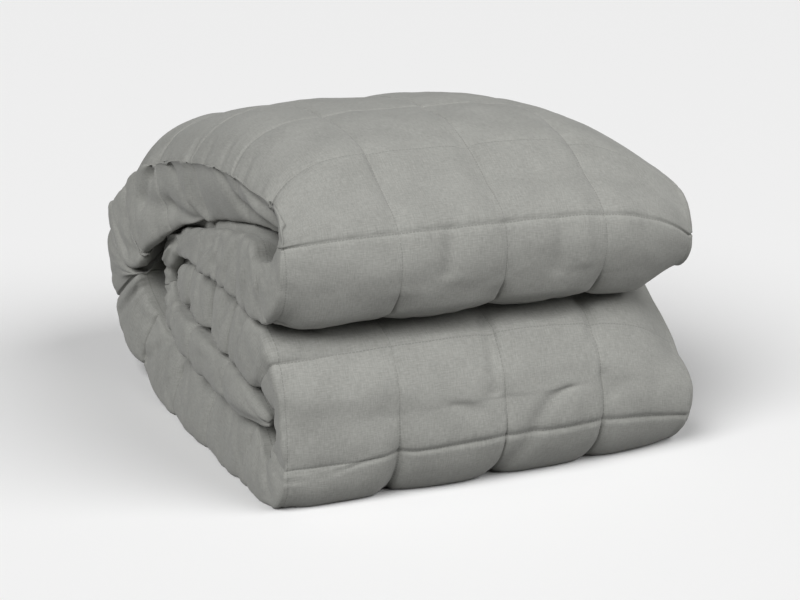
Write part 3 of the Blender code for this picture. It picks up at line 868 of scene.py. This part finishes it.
def weave_group():
    """Fine plain weave with uneven threads, from a map in metres of cloth."""
    group = bpy.data.node_groups.new("plain weave", "ShaderNodeTree")
    group.interface.new_socket("Cloth map", in_out="INPUT", socket_type="NodeSocketVector")
    group.interface.new_socket("Threads per metre", in_out="INPUT", socket_type="NodeSocketFloat")
    group.interface.new_socket("Mottle", in_out="OUTPUT", socket_type="NodeSocketFloat")
    group.interface.new_socket("Height", in_out="OUTPUT", socket_type="NodeSocketFloat")
    nodes, links = group.nodes, group.links
    given = nodes.new("NodeGroupInput")
    result = nodes.new("NodeGroupOutput")

    def math_node(operation, *values):
        return calculate(group, operation, *values)

    def streaks(along, across, detail):
        scale = nodes.new("ShaderNodeMapping")
        scale.vector_type = "POINT"
        scale.inputs["Scale"].default_value = (along, across, 1.0)
        links.new(given.outputs["Cloth map"], scale.inputs["Vector"])
        cloud = nodes.new("ShaderNodeTexNoise")
        cloud.inputs["Scale"].default_value = 1.0
        cloud.inputs["Detail"].default_value = detail
        links.new(scale.outputs["Vector"], cloud.inputs["Vector"])
        return cloud.outputs["Fac"]

    warp = streaks(1000.0, 140.0, 2.0)
    weft = streaks(170.0, 1000.0, 2.0)
    cloudy = streaks(28.0, 28.0, 3.0)
    threads = math_node("ADD", warp, weft)
    mottle = math_node("ADD", math_node("MULTIPLY", threads, 0.38), math_node("MULTIPLY", cloudy, 0.24))
    links.new(mottle, result.inputs["Mottle"])

    split = nodes.new("ShaderNodeSeparateXYZ")
    links.new(given.outputs["Cloth map"], split.inputs["Vector"])
    counts = [math_node("MULTIPLY", split.outputs[k], given.outputs["Threads per metre"])
              for k in range(2)]
    waves = [math_node("COSINE", math_node("MULTIPLY", count, math.pi)) for count in counts]
    over = math_node("MULTIPLY_ADD", math_node("MULTIPLY", waves[0], waves[1]), 0.5, 0.5)
    crowns = [math_node("ABSOLUTE", wave) for wave in waves]
    upper = math_node("MULTIPLY", crowns[0], over)
    lower = math_node("MULTIPLY", crowns[1], math_node("SUBTRACT", 1.0, over))
    weave = math_node("ADD", upper, lower)
    links.new(math_node("ADD", math_node("MULTIPLY", weave, 0.5), threads), result.inputs["Height"])
    return group


def cloth_finish(name, weave_tree, stitch_tree):
    """Matt, slightly brushed cloth: mottled threads, weave and stitches in the bump, a soft sheen."""
    material = bpy.data.materials.new(name)
    material.use_nodes = True
    nodes, links = material.node_tree.nodes, material.node_tree.links
    shader = nodes["Principled BSDF"]
    cloth_map = nodes.new("ShaderNodeUVMap")
    cloth_map.uv_map = "cloth"
    weave = nodes.new("ShaderNodeGroup")
    weave.node_tree = weave_tree
    weave.inputs["Threads per metre"].default_value = THREADS_PER_METRE
    links.new(cloth_map.outputs["UV"], weave.inputs["Cloth map"])
    ramp = nodes.new("ShaderNodeMapRange")
    ramp.inputs["From Min"].default_value = MOTTLE_RANGE[0]
    ramp.inputs["From Max"].default_value = MOTTLE_RANGE[1]
    links.new(weave.outputs["Mottle"], ramp.inputs["Value"])
    mix = nodes.new("ShaderNodeMix")
    mix.data_type = "RGBA"
    mix.inputs["A"].default_value = (*DARK_CLOTH, 1.0)
    mix.inputs["B"].default_value = (*LIGHT_CLOTH, 1.0)
    links.new(ramp.outputs["Result"], mix.inputs["Factor"])
    rows = nodes.new("ShaderNodeGroup")
    rows.node_tree = stitch_tree
    links.new(cloth_map.outputs["UV"], rows.inputs["Cloth map"])
    sewn = nodes.new("ShaderNodeMix")
    sewn.data_type = "RGBA"
    sewn.inputs["B"].default_value = (*THREAD_COLOUR, 1.0)
    links.new(rows.outputs["Thread"], sewn.inputs["Factor"])
    links.new(mix.outputs["Result"], sewn.inputs["A"])
    links.new(sewn.outputs["Result"], shader.inputs["Base Color"])
    height = calculate(material.node_tree, "ADD", weave.outputs["Height"], rows.outputs["Thread"])
    bump = nodes.new("ShaderNodeBump")
    bump.inputs["Strength"].default_value = BUMP_STRENGTH
    bump.inputs["Distance"].default_value = BUMP_DEPTH
    links.new(height, bump.inputs["Height"])
    links.new(bump.outputs["Normal"], shader.inputs["Normal"])
    shader.inputs["Roughness"].default_value = 0.92
    shader.inputs["Specular IOR Level"].default_value = 0.25
    shader.inputs["Sheen Weight"].default_value = 0.15
    shader.inputs["Sheen Roughness"].default_value = 0.5
    return material


grey_cloth = cloth_finish("grey_cloth_weave", weave_group(), stitch_group())
blanket = add_piece("folded_blanket", cloth_mesh("folded_blanket", points, seams, places), grey_cloth)
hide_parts("blanket")


# ---------------------------------------------------------------- floor, light and camera

def floor_finish(seen, thrown_back):
    """One even finish: pale as it is seen, darker in the light that it throws back on the cloth."""
    material = bpy.data.materials.new("floor_finish")
    material.use_nodes = True
    nodes, links = material.node_tree.nodes, material.node_tree.links
    rays = nodes.new("ShaderNodeLightPath")
    mix = nodes.new("ShaderNodeMix")
    mix.data_type = "RGBA"
    mix.inputs["A"].default_value = (thrown_back, thrown_back, thrown_back, 1.0)
    mix.inputs["B"].default_value = (seen, seen, seen, 1.0)
    links.new(rays.outputs["Is Camera Ray"], mix.inputs["Factor"])
    links.new(mix.outputs["Result"], nodes["Principled BSDF"].inputs["Base Color"])
    nodes["Principled BSDF"].inputs["Roughness"].default_value = 0.8
    return material


def add_floor():
    """A wide square under the object."""
    size = FLOOR_SIZE
    corners = [(-size, -size, 0), (size, -size, 0), (size, size, 0), (-size, size, 0)]
    mesh = bpy.data.meshes.new("floor")
    mesh.from_pydata(corners, [], [(0, 1, 2, 3)])
    mesh.materials.append(floor_finish(FLOOR_SEEN, FLOOR_THROWN_BACK))
    floor = bpy.data.objects.new("floor", mesh)
    bpy.context.scene.collection.objects.link(floor)


def add_sun(name, turn, height, spread, strength):
    """Even soft light from far off: turned to the left from the front, and that high, in degrees."""
    light = bpy.data.lights.new(name, "SUN")
    light.angle = math.radians(spread)
    light.energy = strength
    lamp = bpy.data.objects.new(name, light)
    lamp.rotation_euler = (math.radians(90.0 - height), 0.0, math.radians(-turn))
    bpy.context.scene.collection.objects.link(lamp)


def add_camera():
    """The photograph's view: long lens, from the left of the front, a little above."""
    lens = bpy.data.cameras.new("camera")
    lens.sensor_width = SENSOR_WIDTH
    lens.lens = LENS
    camera = bpy.data.objects.new("camera", lens)
    camera.location = (CAMERA_PLACE + FROM_TABLE) * MM
    camera.rotation_euler = (math.radians(90.0 - CAMERA_DOWN), 0.0, math.radians(-CAMERA_TURN))
    bpy.context.scene.collection.objects.link(camera)
    bpy.context.scene.camera = camera


def add_sky(strength):
    """Even white light from all round."""
    world = bpy.data.worlds.new("studio")
    world.use_nodes = True
    background = world.node_tree.nodes["Background"]
    background.inputs["Color"].default_value = (1.0, 1.0, 1.0, 1.0)
    background.inputs["Strength"].default_value = strength
    bpy.context.scene.world = world


bpy.context.scene.view_settings.view_transform = "Standard"
add_floor()
for row in LIGHTS:
    add_sun(*row)
add_sky(SKY_STRENGTH)
add_camera()
